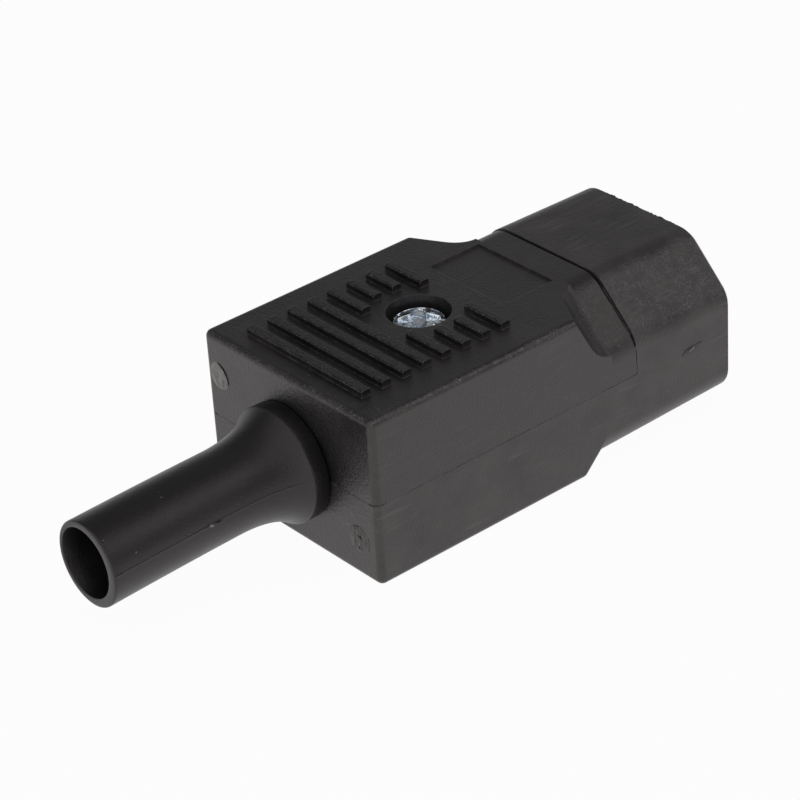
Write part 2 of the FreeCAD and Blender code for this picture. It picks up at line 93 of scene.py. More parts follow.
EDGE_WEAR = Pattern(0.7 * MM, 3.0, (0.42, 0.66))
SCUFFS = Pattern(1.6 * MM, 2.0, (0.62, 0.8))
SPECKS = Pattern(0.3 * MM, 0.0, (0.86, 0.9))
MOTTLE = Pattern(0.9 * MM, 4.0, (0.36, 0.62))
# speckle of the painted sheen on chamfers and lying faces
SHEEN_SPECKS = Pattern(0.18 * MM, 1.0, (0.44, 0.7))
SMEARS = Pattern(1.6 * MM, 4.0, (0.52, 0.72))
SMEARED_AREAS = Pattern(7.0 * MM, 3.0, (0.5, 0.62))
FILM = Pattern(0.9 * MM, 3.0, (0.38, 0.62))
PAPER = Pattern(0.02, 3.0, (0.3, 0.7))
# scale and turn of the coordinates, for noises that run along one way
SCUFF_RUN = ((1.0, 7.0, 7.0), (0.35, 0.25, 0.5))
SMEAR_RUN = ((0.3, 3.0, 3.0), (0.0, 0.06, 0.0))
TOOL_RUN = ((1.0, 6.0, 1.0), (0.0, 0.0, 0.6))


def add_node(tree: bpy.types.NodeTree, kind: str, inputs: Optional[Dict[Any, Any]] = None,
             **settings: Any) -> bpy.types.Node:
    """Add a node to a tree.

    Args:
        tree: the tree of a material, a world or a shape.
        kind: the node's Blender type.
        inputs: values or sockets by input name or index.
        settings: attributes of the node itself.

    Returns:
        The new node.
    """
    node = tree.nodes.new(kind)
    for key, value in settings.items():
        setattr(node, key, value)
    for key, value in (inputs or {}).items():
        if isinstance(value, Socket):
            tree.links.new(value, node.inputs[key])
        else:
            node.inputs[key].default_value = value
    return node


class NodeSheet:
    """A node tree of a material or a world, with short calls to lay out its nodes."""

    # levels of a clouded noise, of an edge's lean, of a slope and of its height share
    CLOUD = (0.3, 0.7)
    EDGE = (0.995, 0.8)
    SLOPE = (0.99, 0.88)
    LYING = (0.1, 0.4)

    def __init__(self, tree: bpy.types.NodeTree, coords: str = "Object") -> None:
        """Clear a tree.

        Args:
            tree: the tree to lay out.
            coords: the texture coordinates to start from.
        """
        self.tree = tree
        self.tree.nodes.clear()
        self.coords = self.add("TexCoord").outputs[coords]

    def add(self, kind: str, inputs: Optional[Dict[Any, Value]] = None,
            **settings: Any) -> bpy.types.Node:
        """Add a shader node, named without its prefix."""
        return add_node(self.tree, f"ShaderNode{kind}", inputs, **settings)

    def noise(self, size: float, detail: float = 2.0, vector: Optional[Socket] = None) -> Socket:
        """A noise whose features measure about size metres."""
        inputs = {"Vector": vector or self.coords, "Scale": 1.0 / size, "Detail": detail}
        return self.add("TexNoise", inputs).outputs[0]

    def span(self, value: Value, levels: Pair, results: Pair = (0.0, 1.0),
             soft: bool = False) -> Socket:
        """Carry a value from one range to another, clamped at both ends.

        Args:
            value: the value to carry.
            levels: the ends of its range.
            results: what they become.
            soft: True to ease in and out.

        Returns:
            The carried value.
        """
        inputs = {"Value": value, "From Min": levels[0], "From Max": levels[1],
                  "To Min": results[0], "To Max": results[1]}
        kind = "SMOOTHSTEP" if soft else "LINEAR"
        return self.add("MapRange", inputs, interpolation_type=kind).outputs[0]

    def patches(self, pattern: Pattern, top: float = 1.0,
                vector: Optional[Socket] = None) -> Socket:
        """The patches of a pattern, from 0 between them to top within them."""
        cloud = self.noise(pattern.size, pattern.detail, vector)
        return self.span(cloud, pattern.levels, (0.0, top))

    def math(self, operation: str, first: Value, second: Value, third: Value = 0.0) -> Socket:
        """What an operation makes of two or three values."""
        inputs = {0: first, 1: second, 2: third}
        return self.add("Math", inputs, operation=operation).outputs[0]

    def product(self, first: Value, second: Value) -> Socket:
        """Two values multiplied."""
        return self.math("MULTIPLY", first, second)

    def dot(self, first: Value, second: Value) -> Socket:
        """How far two directions agree."""
        node = self.add("VectorMath", {0: first, 1: second}, operation="DOT_PRODUCT")
        return node.outputs["Value"]

    def blend(self, factor: Value, first: Value, second: Value) -> Socket:
        """Two colours mixed by a factor."""
        inputs = {0: factor, 6: first, 7: second}
        return self.add("Mix", inputs, data_type="RGBA").outputs[2]

    def stretched(self, scale: Triple, turn: Triple) -> Socket:
        """The coordinates turned and stretched along their axes."""
        inputs = {"Vector": self.coords, "Rotation": turn, "Scale": scale}
        return self.add("Mapping", inputs).outputs[0]

    def bump(self, height: Value, depth: float, normal: Value) -> Socket:
        """A bump of that depth in metres over another normal."""
        inputs = {"Height": height, "Distance": depth, "Normal": normal}
        return self.add("Bump", inputs).outputs[0]

    def soft_edges(self, radius: float) -> Socket:
        """A normal that rounds sharp edges by a small radius."""
        return self.add("Bevel", {"Radius": radius}, samples=8).outputs[0]

    def edges(self, normal: Value) -> Socket:
        """How strongly a rounded normal leans from the true one, 0 on flats and 1 on edges."""
        true = self.add("NewGeometry").outputs["Normal"]
        return self.span(self.dot(normal, true), self.EDGE)

    def slopes(self) -> Socket:
        """Find the faces that lean.

        Returns:
            0 on square or upright faces and 1 on chamfers and lying edges.
        """
        facing = self.add("TexCoord").outputs["Normal"]
        sizes = self.add("VectorMath", {0: facing}, operation="ABSOLUTE").outputs[0]
        parts = self.add("SeparateXYZ", {0: sizes}).outputs
        largest = self.math("MAXIMUM", self.math("MAXIMUM", parts[0], parts[1]), parts[2])
        return self.product(self.span(largest, self.SLOPE), self.span(parts[2], self.LYING))

    def surface(self, shader: Socket) -> None:
        """Send a shader to the tree's output."""
        world = any(node.type == "BACKGROUND" for node in self.tree.nodes)
        self.add("OutputWorld" if world else "OutputMaterial", {"Surface": shader})


def new_material(name: str) -> Tuple[Material, NodeSheet]:
    """Make a material.

    Args:
        name: its name.

    Returns:
        The material and its empty sheet.
    """
    material = bpy.data.materials.new(name)
    material.use_nodes = True
    return material, NodeSheet(material.node_tree)


def rgba(colour: Triple) -> Tuple[float, float, float, float]:
    """A colour with full cover."""
    return (*colour, 1.0)


@dataclass(frozen=True)
class MouldedPlastic:
    """Moulded plastic with eroded grain, faint clouds, scuffs, worn edges and dust, with painted
    sheen speckled on its chamfers and lying faces and painted shade on its crown.

    Attributes:
        pale: its colour in the clouds.
        spread: how far the clouds change the roughness.
        edge: the radius of its sharpest edges.
        sheen: how much painted sheen is speckled on chamfers and lying faces.
        crown: the height above which it is smoother and its colour is darkened with painted shade.
        fade: the place along X from which its painted sheen is weaker.
    """

    name: str
    tone: Triple
    pale: Triple
    roughness: float = 0.42
    spread: float = 0.05
    grain: float = 0.24 * MM
    grain_depth: float = 0.045 * MM
    edge: float = 0.1 * MM
    wear: float = 0.3
    sheen: float = 0.3
    dust: float = 0.4
    cloud: float = 4.0 * MM
    ior: float = 1.55
    gleam: Triple = (1.0, 0.925, 0.915)
    crown: float = 1.0
    fade: float = 1.0
    smear: float = 0.0

    # painted shade: the near-black tone that darkens the rib tops above the crown
    CROWN_SHADE_TONE = (0.0012, 0.0011, 0.0011)
    SMEAR_TONE = (0.1, 0.096, 0.094)
    # painted sheen: the pale tone speckled on chamfers and lying faces
    SHEEN_TONE = (0.125, 0.123, 0.128)
    WORN_TONE = (0.17, 0.166, 0.162)
    DUST_TONE = (0.3, 0.29, 0.28)
    CLOUD_DETAIL = 4.0
    GRAIN_DETAIL = 3.0
    CROWN_RUN = 0.3 * MM
    FADE_RUN = 2.0 * MM
    FADED = 0.4
    FLAT_SHEEN = 0.12
    SCUFF_GLOSS = -0.07
    CROWN_GLOSS = -0.1

    def painted_sheen(self, sheet: NodeSheet, along: Value) -> Socket:
        """Find where painted sheen is speckled on chamfers and lying faces.

        Args:
            sheet: the material's sheet.
            along: the place along X.

        Returns:
            The painted sheen's share.
        """
        mottle = sheet.product(sheet.patches(MOTTLE), sheet.patches(SHEEN_SPECKS, self.sheen))
        leaning = sheet.math("MAXIMUM", sheet.slopes(), self.FLAT_SHEEN)
        fade = sheet.span(along, (self.fade - self.FADE_RUN, self.fade), (1.0, self.FADED))
        return sheet.product(sheet.product(mottle, leaning), fade)

    def smears(self, sheet: NodeSheet) -> Socket:
        """Where long pale smears lie."""
        streaks = sheet.patches(SMEARS, self.smear, sheet.stretched(*SMEAR_RUN))
        return sheet.product(streaks, sheet.patches(SMEARED_AREAS))

    def material(self) -> Material:
        """Build the material.

        Returns:
            The finished plastic.
        """
        material, sheet = new_material(self.name)
        cloud = sheet.noise(self.cloud, self.CLOUD_DETAIL)
        rounded = sheet.soft_edges(self.edge)
        spot = sheet.add("SeparateXYZ", {0: sheet.coords}).outputs
        # the crown's mask: above it the plastic is smoother and its colour carries painted shade
        crown = sheet.span(spot["Z"], (self.crown - self.CROWN_RUN, self.crown))
        worn = sheet.product(sheet.edges(rounded), sheet.patches(EDGE_WEAR, self.wear))
        colour = sheet.blend(sheet.span(cloud, sheet.CLOUD), rgba(self.tone), rgba(self.pale))
        # painted into the colour: shade on the crown and sheen on chamfers and lying faces; the
        # smears, worn edges and dust are the plastic's own
        for share, tone in ((crown, self.CROWN_SHADE_TONE), (self.smears(sheet), self.SMEAR_TONE),
                            (self.painted_sheen(sheet, spot["X"]), self.SHEEN_TONE),
                            (worn, self.WORN_TONE),
                            (sheet.patches(SPECKS, self.dust), self.DUST_TONE)):
            colour = sheet.blend(share, colour, rgba(tone))
        rough = sheet.span(cloud, sheet.CLOUD,
                           (self.roughness - self.spread, self.roughness + self.spread))
        scuffs = sheet.patches(SCUFFS, 1.0, sheet.stretched(*SCUFF_RUN))
        for share, gloss in ((scuffs, self.SCUFF_GLOSS), (crown, self.CROWN_GLOSS)):
            rough = sheet.math("MULTIPLY_ADD", share, gloss, rough)
        grain = sheet.noise(self.grain, self.GRAIN_DETAIL)
        normal = sheet.bump(grain, self.grain_depth, rounded)
        shader = sheet.add("BsdfPrincipled", {
            "Base Color": colour, "Roughness": rough, "IOR": self.ior,
            "Specular Tint": rgba(self.gleam), "Normal": normal})
        sheet.surface(shader.outputs[0])
        return material


@dataclass(frozen=True)
class PlatedMetal:
    """Plated or bare metal with fine tool lines, small dents and a film that tints it."""

    name: str
    tone: Triple
    tint: Triple
    roughness: float
    line: float
    line_depth: float
    dent_depth: float

    SMOOTHEST = 0.75
    ROUGHEST = 1.3
    DENT_SIZE = 0.8 * MM
    DENT_DETAIL = 1.0
    EDGE = 0.05 * MM

    def material(self) -> Material:
        """Build the material.

        Returns:
            The finished metal.
        """
        material, sheet = new_material(self.name)
        film = sheet.noise(FILM.size, FILM.detail)
        lines = sheet.noise(self.line, vector=sheet.stretched(*TOOL_RUN))
        dents = sheet.noise(self.DENT_SIZE, self.DENT_DETAIL)
        colour = sheet.blend(sheet.span(film, FILM.levels), rgba(self.tone), rgba(self.tint))
        rough = sheet.span(film, sheet.CLOUD, (self.roughness * self.SMOOTHEST,
                                               self.roughness * self.ROUGHEST))
        normal = sheet.bump(dents, self.dent_depth, sheet.soft_edges(self.EDGE))
        normal = sheet.bump(lines, self.line_depth, normal)
        shader = sheet.add("BsdfPrincipled", {
            "Base Color": colour, "Metallic": 1.0, "Roughness": rough, "Normal": normal})
        sheet.surface(shader.outputs[0])
        return material


HOUSING = MouldedPlastic(
    name="housing_black", tone=(0.013, 0.012, 0.012), pale=(0.05, 0.0462, 0.0462),
    wear=0.6, sheen=0.6, smear=0.5)
COVER = MouldedPlastic(
    name="cover_black", tone=(0.0075, 0.007, 0.007), pale=(0.02, 0.0185, 0.0185),
    roughness=0.4, wear=0.7, sheen=0.75, ior=1.6, crown=17.9 * MM, fade=15.5 * MM, smear=0.12)
TORN = MouldedPlastic(
    name="torn_grey", tone=(0.12, 0.116, 0.112), pale=(0.3, 0.292, 0.28), roughness=0.52,
    spread=0.08, grain=0.12 * MM, grain_depth=0.02 * MM, edge=0.05 * MM, dust=0.2, cloud=0.5 * MM)
SCUFFED = replace(
    TORN, name="scuffed_grey", tone=(0.025, 0.0235, 0.0235), pale=(0.09, 0.087, 0.084),
    roughness=0.48, spread=0.06)
BOOT = MouldedPlastic(
    name="boot_black", tone=(0.0042, 0.0039, 0.004), pale=(0.0064, 0.006, 0.0061), spread=0.04,
    grain=0.2 * MM, grain_depth=0.034 * MM, edge=0.06 * MM, wear=0.2, sheen=0.04, cloud=7.0 * MM)
GRIP = MouldedPlastic(
    name="grip_black", tone=(0.017, 0.0165, 0.0162), pale=(0.024, 0.0232, 0.0228), roughness=0.5,
    grain=0.2 * MM, grain_depth=0.008 * MM, sheen=0.2, dust=0.2, cloud=3.0 * MM)
ZINC = PlatedMetal(
    name="zinc_bright", tone=(0.8, 0.88, 0.96), tint=(0.6, 0.7, 0.86), roughness=0.24,
    line=0.3 * MM, line_depth=0.006 * MM, dent_depth=0.03 * MM)
BATTERED = replace(
    ZINC, name="zinc_battered", tone=(0.92, 0.97, 1.0), tint=(0.68, 0.8, 0.98),
    roughness=0.2, dent_depth=0.25 * MM)
BRASS = PlatedMetal(
    name="contact_brass", tone=(0.8, 0.58, 0.26), tint=(0.72, 0.49, 0.2), roughness=0.27,
    line=0.5 * MM, line_depth=0.003 * MM, dent_depth=0.004 * MM)


@dataclass
class Finishes:
    """The materials in use, built once."""

    housing: Material = field(default_factory=HOUSING.material)
    cover: Material = field(default_factory=COVER.material)
    torn: Material = field(default_factory=TORN.material)
    scuffed: Material = field(default_factory=SCUFFED.material)
    boot: Material = field(default_factory=BOOT.material)
    grip: Material = field(default_factory=GRIP.material)
    zinc: Material = field(default_factory=ZINC.material)
    battered: Material = field(default_factory=BATTERED.material)
    brass: Material = field(default_factory=BRASS.material)


def new_piece(name: str, shape: bmesh.types.BMesh, material: Material,
              sharp: float = 32.0) -> bpy.types.Object:
    """Turn a finished shape into a smooth-shaded object at the origin.

    Args:
        name: the piece's name.
        shape: the shape, which is freed.
        material: what it is made of.
        sharp: the angle in degrees past which an edge stays sharp.

    Returns:
        The linked object.
    """
    mesh = bpy.data.meshes.new(name)
    shape.to_mesh(mesh)
    shape.free()
    mesh.shade_smooth()
    mesh.set_sharp_from_angle(angle=math.radians(sharp))
    mesh.materials.append(material)
    piece = bpy.data.objects.new(name, mesh)
    bpy.context.scene.collection.objects.link(piece)
    return piece


def bake_modifiers(piece: bpy.types.Object) -> None:
    """Put what a piece's modifiers make into its own mesh, and take them off.

    Args:
        piece: the piece, whose old mesh is removed.
    """
    ready = piece.evaluated_get(bpy.context.evaluated_depsgraph_get())
    made = bpy.data.meshes.new_from_object(ready)
    piece.modifiers.clear()
    old = piece.data
    piece.data = made
    bpy.data.meshes.remove(old)


def place(piece: bpy.types.Object, body: str, node: Optional[str] = None) -> None:
    """Let a piece ride on a body.

    Args:
        piece: the finished piece.
        body: the body that it moves with.
        node: the solid that it stands for, if any.
    """
    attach(piece, body)
    if node:
        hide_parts(node)
    LOG.info("%s rides on %s with %d faces", piece.name, body, len(piece.data.polygons))


def skinned(rings: Sequence[Sequence[Vector]], closed: bool) -> bmesh.types.BMesh:
    """Skin a row of equal rings of points.

    Args:
        rings: the rings in order.
        closed: True where the last ring joins the first, False where the two
            end rings are filled to their middle.

    Returns:
        A closed shape with its faces outwards.
    """
    shape = bmesh.new()
    rows = [[shape.verts.new(p) for p in ring] for ring in rings]
    count = len(rows[0])
    pairs = list(zip(rows, rows[1:]))
    if closed:
        pairs.append((rows[-1], rows[0]))
    for first, second in pairs:
        for i in range(count):
            j = (i + 1) % count
            shape.faces.new((first[i], first[j], second[j], second[i]))
    if not closed:
        for row in (rows[0], rows[-1]):
            hub = shape.verts.new(sum((v.co for v in row), Vector()) / count)
            for i in range(count):
                shape.faces.new((row[i], row[(i + 1) % count], hub))
    bmesh.ops.recalc_face_normals(shape, faces=shape.faces[:])
    return shape


@dataclass
class SolidSkins:
    """Smooth copies of the solids whose shape is already right."""

    finishes: Finishes
    nodes: Dict[str, bpy.types.Object]
    weld: float = 1e-7
    flat_weight: int = 100

    def skin(self, node: str, body: str, material: Material) -> None:
        """Copy a solid, join its loose triangles and let its broad faces lie flat.

        Args:
            node: the solid's name.
            body: the body that it moves with.
            material: what it is made of.
        """
        solid = self.nodes[node].data
        shape = bmesh.new()
        points = [shape.verts.new(vertex.co) for vertex in solid.vertices]
        for face in solid.polygons:
            shape.faces.new([points[i] for i in face.vertices])
        bmesh.ops.remove_doubles(shape, verts=shape.verts[:], dist=self.weld)
        piece = new_piece(node + "_skin", shape, material)
        flat = piece.modifiers.new("flat_faces", "WEIGHTED_NORMAL")
        flat.keep_sharp = True
        flat.weight = self.flat_weight
        bake_modifiers(piece)
        place(piece, body, node)

    def build(self) -> None:
        """Make every skin."""
        self.skin("lower_housing", "case", self.finishes.housing)
        self.skin("upper_cover", "cover", self.finishes.cover)
        self.skin("cord_grip", "cord_grip", self.finishes.grip)
        for pole in POLES:
            self.skin(f"{pole}_contact", "case", self.finishes.brass)
            self.skin(f"{pole}_washer", f"{pole}_clamp", self.finishes.zinc)


@dataclass(frozen=True)
class Fin:
    """A thin uneven ridge of plastic along a path: flash, a tear or a scratch.

    Attributes:
        heights: its least and greatest height over the wall.
        half: half its width at the foot.
    """

    name: str
    body: str
    path: Tuple[Vector, ...]
    out: Vector
    heights: Pair
    half: float = 0.09 * MM
    slot: str = "case_plastic"

    STEP = 0.12 * MM
    SINK = 0.1 * MM
    CREST = 0.7
    SWAY = 0.3
    # raggedness and sway: waves to a metre, and shares of the height
    COARSE, FINE, WANDER = 1100.0, 3900.0, 800.0
    MEAN, COARSE_SHARE, FINE_SHARE = 0.5, 0.6, 0.5

    def ring(self, spot: Vector, across: Vector) -> List[Vector]:
        """Draw the ridge's section.

        Args:
            spot: its place on the path.
            across: half its foot.

        Returns:
            The section's four points.
        """
        ragged = (self.MEAN + self.COARSE_SHARE * noise.noise(spot * self.COARSE)
                  + self.FINE_SHARE * noise.noise(spot * self.FINE))
        low, high = self.heights
        height = low + (high - low) * max(0.0, min(1.0, ragged))
        sway = across * (self.SWAY * noise.noise(spot * self.WANDER))
        crest = spot + self.out * height + sway
        root = spot - self.out * self.SINK
        return [root - across, crest - across * self.CREST, crest + across * self.CREST,
                root + across]

    def build(self, material: Material) -> None:
        """Make the ridge.

        Args:
            material: its plastic.
        """
        rings = []
        for start, end in zip(self.path, self.path[1:]):
            run = end - start
            across = run.normalized().cross(self.out) * self.half
            steps = max(2, int(run.length / self.STEP))
            for step in range(steps + (end is self.path[-1])):
                rings.append(self.ring(start + run * (step / steps), across))
        place(new_piece(self.name, skinned(rings, False), material), self.body)


@dataclass(frozen=True)
class GateStub:
    """The torn stub that fills a gate mark on the rear face, a thin uneven disc.

    Attributes:
        side: 1 for the mark above the parting plane, -1 for the one below.
        gap: the share of its radius that is torn away on one side.
    """

    name: str
    body: str
    side: int
    gap: float = 0.0

    RADIUS = 1.42 * MM
    LUMP = 0.2 * MM
    ROOT = 0.12 * MM
    PROUD = 0.006 * MM
    AROUND = 128
    ROOT_SHARES = (0.5, 0.92)
    SHARES = tuple(1.0 - 0.032 * i for i in range(31))
    TEAR_TURN = math.radians(143.0)
    TEAR_END = 4.0
    TEAR_PINCH = 1.35
    TEAR_CURVE = 0.6
    RAGGED = 0.05
    RAGS = 5.0
    # seed, then waves to a metre across and up
    STRANDS, LUMPS = (3.0, 4200.0, 700.0), (7.0, 1000.0, 800.0)
    MEAN, STRAND_SHARE, LUMP_SHARE = 0.55, 0.6, 0.4
    SHARP = 60.0

    def reach(self, turn: float) -> float:
        """Find how far the stub reaches.

        Args:
            turn: the angle round its middle.

        Returns:
            Its radius there.
        """
        torn = 0.0
        if turn < self.TEAR_END:
            lean = math.cos((turn - self.TEAR_TURN) * self.TEAR_PINCH)
            torn = self.gap * max(0.0, lean) ** self.TEAR_CURVE
        uneven = noise.noise(Vector((turn * self.RAGS, self.side, 0.0)))
        return self.RADIUS * (1.0 - torn) * (1.0 + self.RAGGED * uneven)

    def height(self, share: float, spot: Vector) -> float:
        """Find how far the stub's strands and lumps stand out of the wall.

        Args:
            share: the ring's share of the reach.
            spot: the place from the stub's middle.

        Returns:
            The height there.
        """
        strand, lump = (noise.noise(Vector((self.side * seed, spot.y * across, spot.z * up)))
                        for seed, across, up in (self.STRANDS, self.LUMPS))
        rough = self.MEAN + self.STRAND_SHARE * strand + self.LUMP_SHARE * lump
        swell = math.sqrt(max(0.0, 1.0 - share * share))
        return self.LUMP * swell * rough + self.PROUD

    def build(self, middle: Vector, material: Material) -> None:
        """Make the stub.

        Args:
            middle: the middle of its gate mark.
            material: its broken plastic.
        """
        rings = []
        for share in self.ROOT_SHARES + self.SHARES:
            rooted = len(rings) < len(self.ROOT_SHARES)
            ring = []
            for step in range(self.AROUND):
                turn = math.tau * step / self.AROUND
                way = Vector((0.0, math.cos(turn), math.sin(turn)))
                spot = way * (share * self.reach(turn))
                out = -self.ROOT if rooted else self.height(share, spot)
                ring.append(middle + spot + BACK * out)
            rings.append(ring)
        piece = new_piece(self.name, skinned(rings, False), material, self.SHARP)
        place(piece, self.body)


@dataclass(frozen=True)
class Blister:
    """A flat oval blister on the nose's right side.

    Attributes:
        reach: its half length and half height.
        tilt: how steeply it leans, as height over length.
        lift: how far its crest lies above its middle, as a share of its half height.
    """

    name: str
    reach: Pair
    rise: float
    tilt: float
    lift: float = 0.0

    SPOT = (28.5 * MM, 8.25 * MM)
    AROUND = 40
    RAGGED = 0.2
    # share of the reach, share of the rise
    PROFILE = ((0.6, -0.3), (1.0, 0.0), (0.93, 0.5), (0.8, 0.85), (0.55, 1.0), (0.25, 0.8))

    def build(self, material: Material) -> None:
        """Make the blister.

        Args:
            material: its plastic.
        """
        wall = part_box("lower_housing")[0].y
        rings = []
        for share, out in self.PROFILE:
            ring = []
            for step in range(self.AROUND):
                turn = math.tau * step / self.AROUND
                rag = noise.noise(Vector((math.cos(turn), math.sin(turn), self.reach[0] / MM)))
                x = self.reach[0] * share * (1.0 + self.RAGGED * rag) * math.cos(turn)
                level = share * math.sin(turn) + self.lift * (1.0 - share)
                z = self.reach[1] * level + self.tilt * x
                ring.append(Vector((self.SPOT[0] + x, wall - out * self.rise, self.SPOT[1] + z)))
            rings.append(ring)
        place(new_piece(self.name, skinned(rings, False), material), "case")


def scratch_and_highlight(name: str, body: str, out: Vector, start: Triple, end: Triple) -> Fin:
    """A thin pale line between two points in millimetres: a scratch, and on the label's rim a
    painted highlight.
    """
    path = (Vector(start) * MM, Vector(end) * MM)
    return Fin(name, body, path, out, heights=(-0.07 * MM, 0.014 * MM), half=0.06 * MM)


SCRATCHES_AND_HIGHLIGHTS = (
    # a pale line along the label recess's rim: painted highlight
    scratch_and_highlight("label_rim_highlight", "cover", UP, (11.4, -4.84, 17.4), (17.4, -4.84, 17.4)),
    scratch_and_highlight("scratch_scoop", "cover", RIGHT, (17.46, -12.0, 11.0), (18.23, -12.0, 10.78)),
    scratch_and_highlight("scratch_corner", "cover", RIGHT, (-9.98, -12.0, 14.95), (-9.9, -12.0, 15.3)),
    scratch_and_highlight("scratch_nose", "case", RIGHT, (23.56, -12.0, 3.72), (24.63, -12.0, 3.81)),
    replace(scratch_and_highlight("boot_tear", "case", RIGHT, (-23.5, -4.1, 8.97), (-23.2, -4.1, 9.0)),
            heights=(-0.07 * MM, 0.3 * MM), slot="boot_rubber"))


@dataclass
class MouldMarks:
    """What the mould and handling left: gate stubs, flash in and along partings, scars, with dark
    pieces that paint the shadow in the gates and in a pit on the nose, and a pale line that paints
    a highlight on the label's rim.
    """

    finishes: Finishes
    gate_y: float = 9.6 * MM
    gate_shift: float = 0.35 * MM
    gate_rise: float = 4.6 * MM
    gate_gap: float = 0.34
    # the arc radius and half widths of the dark fins that paint shadow at the gates
    shadow_arc_r: float = 1.14 * MM
    shadow_half: float = 0.16 * MM
    shadow_mark_half: float = 0.1 * MM
    gap_foot: float = 0.06 * MM
    nose_z: float = 8.2 * MM
    crest_inset: float = 0.46 * MM
    crest_half: float = 5.2 * MM
    crest_z: float = 17.19 * MM

    # degrees round the upper gate, millimetres from the lower one, along which dark fins paint the
    # shadow in the upper gate's tear and in the lower gate's slit and dot
    SHADOW_TURNS = tuple(96.0 + 8.0 * i for i in range(13))
    LOW_SHADOWS = (("shadow_slit", ((0.58, 0.54), (0.1, 0.42), (-0.49, 0.15))),
                 ("dot", ((-0.02, -0.7), (-0.12, -0.95))))

    def gate(self, side: int) -> Vector:
        """The middle of the gate mark above (1) or below (-1) the parting plane."""
        return Vector((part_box("upper_cover")[0].x, side * self.gate_y + self.gate_shift,
                       PARTING_Z + side * self.gate_rise))

    def gates(self) -> None:
        """Make both gate stubs, with dark fins that paint the shadow in the upper stub's torn gap
        and in the lower stub's slit and dot.
        """
        high, low = self.gate(1), self.gate(-1)
        GateStub("gate_stub_cover", "cover", 1, self.gate_gap).build(high, self.finishes.torn)
        GateStub("gate_stub_case", "case", -1).build(low, self.finishes.scuffed)
        arc = tuple(high + Vector((0.0, math.cos(turn), math.sin(turn))) * self.shadow_arc_r
                    for turn in map(math.radians, self.SHADOW_TURNS))
        # a dark fin sunk in the torn gap: painted shadow
        Fin("gate_tear_shadow_cover", "cover", arc, BACK, (-0.08 * MM, -0.02 * MM),
            self.shadow_half).build(self.finishes.boot)
        # dark fins standing on the lower stub: painted shadow of a slit and a dot
        for word, spots in self.LOW_SHADOWS:
            path = tuple(low + Vector((0.0, y * MM, z * MM)) for y, z in spots)
            Fin(f"gate_{word}_case", "case", path, BACK, (0.1 * MM, 0.22 * MM),
                self.shadow_mark_half).build(self.finishes.boot)

    def partings(self) -> None:
        """Fill the parting lines and the foot of the gap before the nose with flash."""
        low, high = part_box("lower_housing")
        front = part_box("upper_cover")[1].x
        gap = front + self.gap_foot
        for side, word in ((1, "left"), (-1, "right")):
            wall = side * high.y
            out = Vector((0.0, side, 0.0))
            slope = Vector((0.0, side, 1.0)).normalized()
            # name, start, end, way out, heights in millimetres
            lines = (
                ("parting", (low.x + 1.0 * MM, wall, PARTING_Z),
                 (front - 0.5 * MM, wall, PARTING_Z), out, (-0.07, 0.012)),
                ("rear", (low.x, side * 6.2 * MM, PARTING_Z),
                 (low.x, side * 11.0 * MM, PARTING_Z), BACK, (-0.03, 0.012)),
                ("gap", (gap, wall, PARTING_Z - 0.05 * MM),
                 (front, wall, PARTING_Z + 3.0 * MM), out, (-0.07, 0.006)),
                ("slope", (gap, wall - side * 0.75 * MM, 12.65 * MM),
                 (gap, wall - side * 4.4 * MM, 16.3 * MM), slope, (-0.1, -0.03)),
                ("nose", (front + 0.6 * MM, wall, self.nose_z),
                 (high.x - 0.6 * MM, wall, self.nose_z), out, (-0.02, 0.014)))
            for name, start, end, way, (least, most) in lines:
                Fin(f"{name}_flash_{word}", "case", (Vector(start), Vector(end)), way,
                    (least * MM, most * MM)).build(self.finishes.housing)

    def build(self) -> None:
        """Make the marks."""
        self.gates()
        self.partings()
        crest_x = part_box("lower_housing")[1].x - self.crest_inset
        crest = tuple(Vector((crest_x, side * self.crest_half, self.crest_z)) for side in (1, -1))
        Fin("nose_crest_flash", "case", crest, UP,
            (-0.1 * MM, 0.12 * MM)).build(self.finishes.housing)
        # a thin near-black lens that paints the shadow of a pit
        Blister("nose_pit_shadow", reach=(1.4 * MM, 0.34 * MM), rise=0.03 * MM,
                tilt=0.12).build(self.finishes.boot)
        Blister("nose_bur", reach=(0.4 * MM, 0.09 * MM), rise=0.15 * MM, tilt=0.3,
                lift=-0.4).build(self.finishes.torn)
        for line in SCRATCHES_AND_HIGHLIGHTS:
            line.build(self.finishes.torn)


